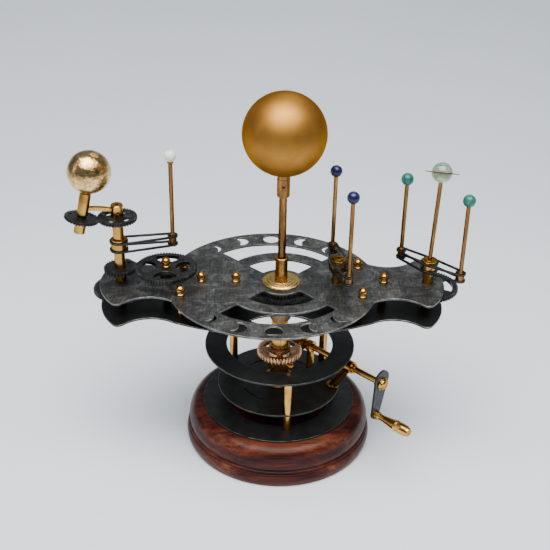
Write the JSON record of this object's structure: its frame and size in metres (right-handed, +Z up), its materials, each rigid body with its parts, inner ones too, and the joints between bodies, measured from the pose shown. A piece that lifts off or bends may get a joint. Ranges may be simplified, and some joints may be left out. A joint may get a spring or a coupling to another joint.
{
  "type": "orrery",
  "caption": "Hand-cranked table orrery: a brass sun over a geared steel frame that carries a tilted globe with its moon and stone planets on rods, on a turned wooden base.",
  "frame": {"origin": "centre of the wooden base's flat underside, on the axis of the mast and of the turning frame", "axes": "+Z up along the mast; +X along the frame's arm with the ringed glass ball at rest; -Y towards the crank's side"},
  "size_m": [0.3039, 0.165, 0.297],
  "materials": {
    "rosewood": "glossy polished dark red-brown hardwood",
    "black_steel": "blackened, finely brushed",
    "gunmetal": "mottled gunmetal blue with brushed top",
    "gear_steel": "blackened cut steel",
    "brass": "polished",
    "pink_brass": "polished, slightly pink",
    "gold_satin": "satin gold lacquer",
    "gilded": "bright crinkled gilt",
    "white_stone": "polished white",
    "lapis": "polished deep blue",
    "malachite": "polished green",
    "clear_green_glass": "clear pale green",
    "blued_steel": "blued"
  },
  "bodies": {
    "stand": {"wooden_base": "rosewood", "base_plate": "black_steel", "stand_pillars": "brass", "mid_plate": "black_steel", "ring_plate": "black_steel", "centre_post": "gear_steel", "column_bearing": "brass", "crank_bearings": "brass", "fixed_gears": "gear_steel", "mast_sleeve": "brass", "mast_rod": "brass", "mast_collar": "brass", "sun_ball": "gold_satin"},
    "cage": {"column_tube": "brass", "worm_wheel": "pink_brass", "knurled_collar": "brass", "clamp_screw": "brass", "lower_flange": "pink_brass", "lower_plate": "gunmetal", "upper_plate": "gunmetal", "hub_disc": "brass", "cage_pillars": "brass", "idler_studs": "brass", "ball_nuts": "brass", "lower_nuts": "brass"},
    "first_idler_wheel": {"first_idler": "gear_steel"},
    "second_idler_wheel": {"second_idler": "gear_steel"},
    "right_idler_wheel": {"right_idler": "gear_steel"},
    "third_wheel": {"third_arbor": "gear_steel", "drive_wheel": "gear_steel", "drive_wheel_nut": "brass"},
    "moon": {"moon_tube": "brass", "moon_gear": "gear_steel", "moon_links": "gear_steel", "moon_rod": "brass", "moon_ball": "white_stone", "tilt_drive_gear": "gear_steel"},
    "earth": {"earth_shaft": "brass", "parallel_gear": "gear_steel", "earth_arm": "brass", "tilt_tube": "brass"},
    "globe": {"globe_spindle": "brass", "tilted_gear": "gear_steel", "globe_ball": "gilded"},
    "blue_arm": {"blue_arbor": "brass", "blue_gear": "gear_steel", "blue_links": "gear_steel", "blue_rods": "brass", "blue_balls": "lapis"},
    "green_arm": {"green_arbor": "brass", "green_gear": "gear_steel", "green_links": "gear_steel", "green_rods": "brass", "green_balls": "malachite", "glass_ball": "clear_green_glass", "ball_ring": "brass"},
    "crank": {"worm_shaft": "brass", "crank_fittings": "brass", "crank_arm": "blued_steel"},
    "grip": {"crank_handle": "brass"}
  },
  "joints": [
    {"name": "cage_turn", "type": "hinge", "parent": "stand", "child": "cage", "pos_m": [0, 0, 0], "axis": [0, 0, 1], "continuous": true},
    {"name": "first_idler_spin", "type": "hinge", "parent": "cage", "child": "first_idler_wheel", "pos_m": [-0.03525, 0, 0.13], "axis": [0, 0, 1], "continuous": true},
    {"name": "second_idler_spin", "type": "hinge", "parent": "cage", "child": "second_idler_wheel", "pos_m": [-0.06225, 0, 0.13], "axis": [0, 0, 1], "continuous": true},
    {"name": "third_arbor_spin", "type": "hinge", "parent": "cage", "child": "third_wheel", "pos_m": [-0.08925, 0, 0.13], "axis": [0, 0, 1], "continuous": true},
    {"name": "moon_spin", "type": "hinge", "parent": "cage", "child": "moon", "pos_m": [-0.1245, 0, 0.15], "axis": [0, 0, 1], "continuous": true},
    {"name": "earth_arm_spin", "type": "hinge", "parent": "cage", "child": "earth", "pos_m": [-0.1245, 0, 0.13], "axis": [0, 0, 1], "continuous": true},
    {"name": "globe_spin", "type": "hinge", "parent": "earth", "child": "globe", "pos_m": [-0.15014, -0.00721, 0.2], "axis": [0.2051, 0.0576, 0.977], "continuous": true},
    {"name": "blue_arm_spin", "type": "hinge", "parent": "cage", "child": "blue_arm", "pos_m": [0.04387, 0, 0.135], "axis": [0, 0, 1], "continuous": true},
    {"name": "right_idler_spin", "type": "hinge", "parent": "cage", "child": "right_idler_wheel", "pos_m": [0.08025, 0, 0.135], "axis": [0, 0, 1], "continuous": true},
    {"name": "green_arm_spin", "type": "hinge", "parent": "cage", "child": "green_arm", "pos_m": [0.11475, 0, 0.135], "axis": [0, 0, 1], "continuous": true},
    {"name": "crank_turn", "type": "hinge", "parent": "stand", "child": "crank", "pos_m": [0.01619, 0.01619, 0.0788], "axis": [0.7071, -0.7071, 0], "continuous": true},
    {"name": "grip_spin", "type": "hinge", "parent": "crank", "child": "grip", "pos_m": [0.08707, -0.06142, 0.05182], "axis": [0.7071, -0.7071, 0], "continuous": true}
  ],
  "couplings": [
    {"joint": "first_idler_spin", "follows": "cage_turn", "ratio": 1.4737},
    {"joint": "second_idler_spin", "follows": "cage_turn", "ratio": -1.6471},
    {"joint": "third_arbor_spin", "follows": "cage_turn", "ratio": 1.4737},
    {"joint": "earth_arm_spin", "follows": "cage_turn", "ratio": -1},
    {"joint": "moon_spin", "follows": "cage_turn", "ratio": -2.8553},
    {"joint": "globe_spin", "follows": "cage_turn", "ratio": 2.1364},
    {"joint": "blue_arm_spin", "follows": "cage_turn", "ratio": 0.74627},
    {"joint": "right_idler_spin", "follows": "cage_turn", "ratio": -1.6667},
    {"joint": "green_arm_spin", "follows": "cage_turn", "ratio": 0.80645},
    {"joint": "crank_turn", "follows": "cage_turn", "ratio": 38}
  ]
}
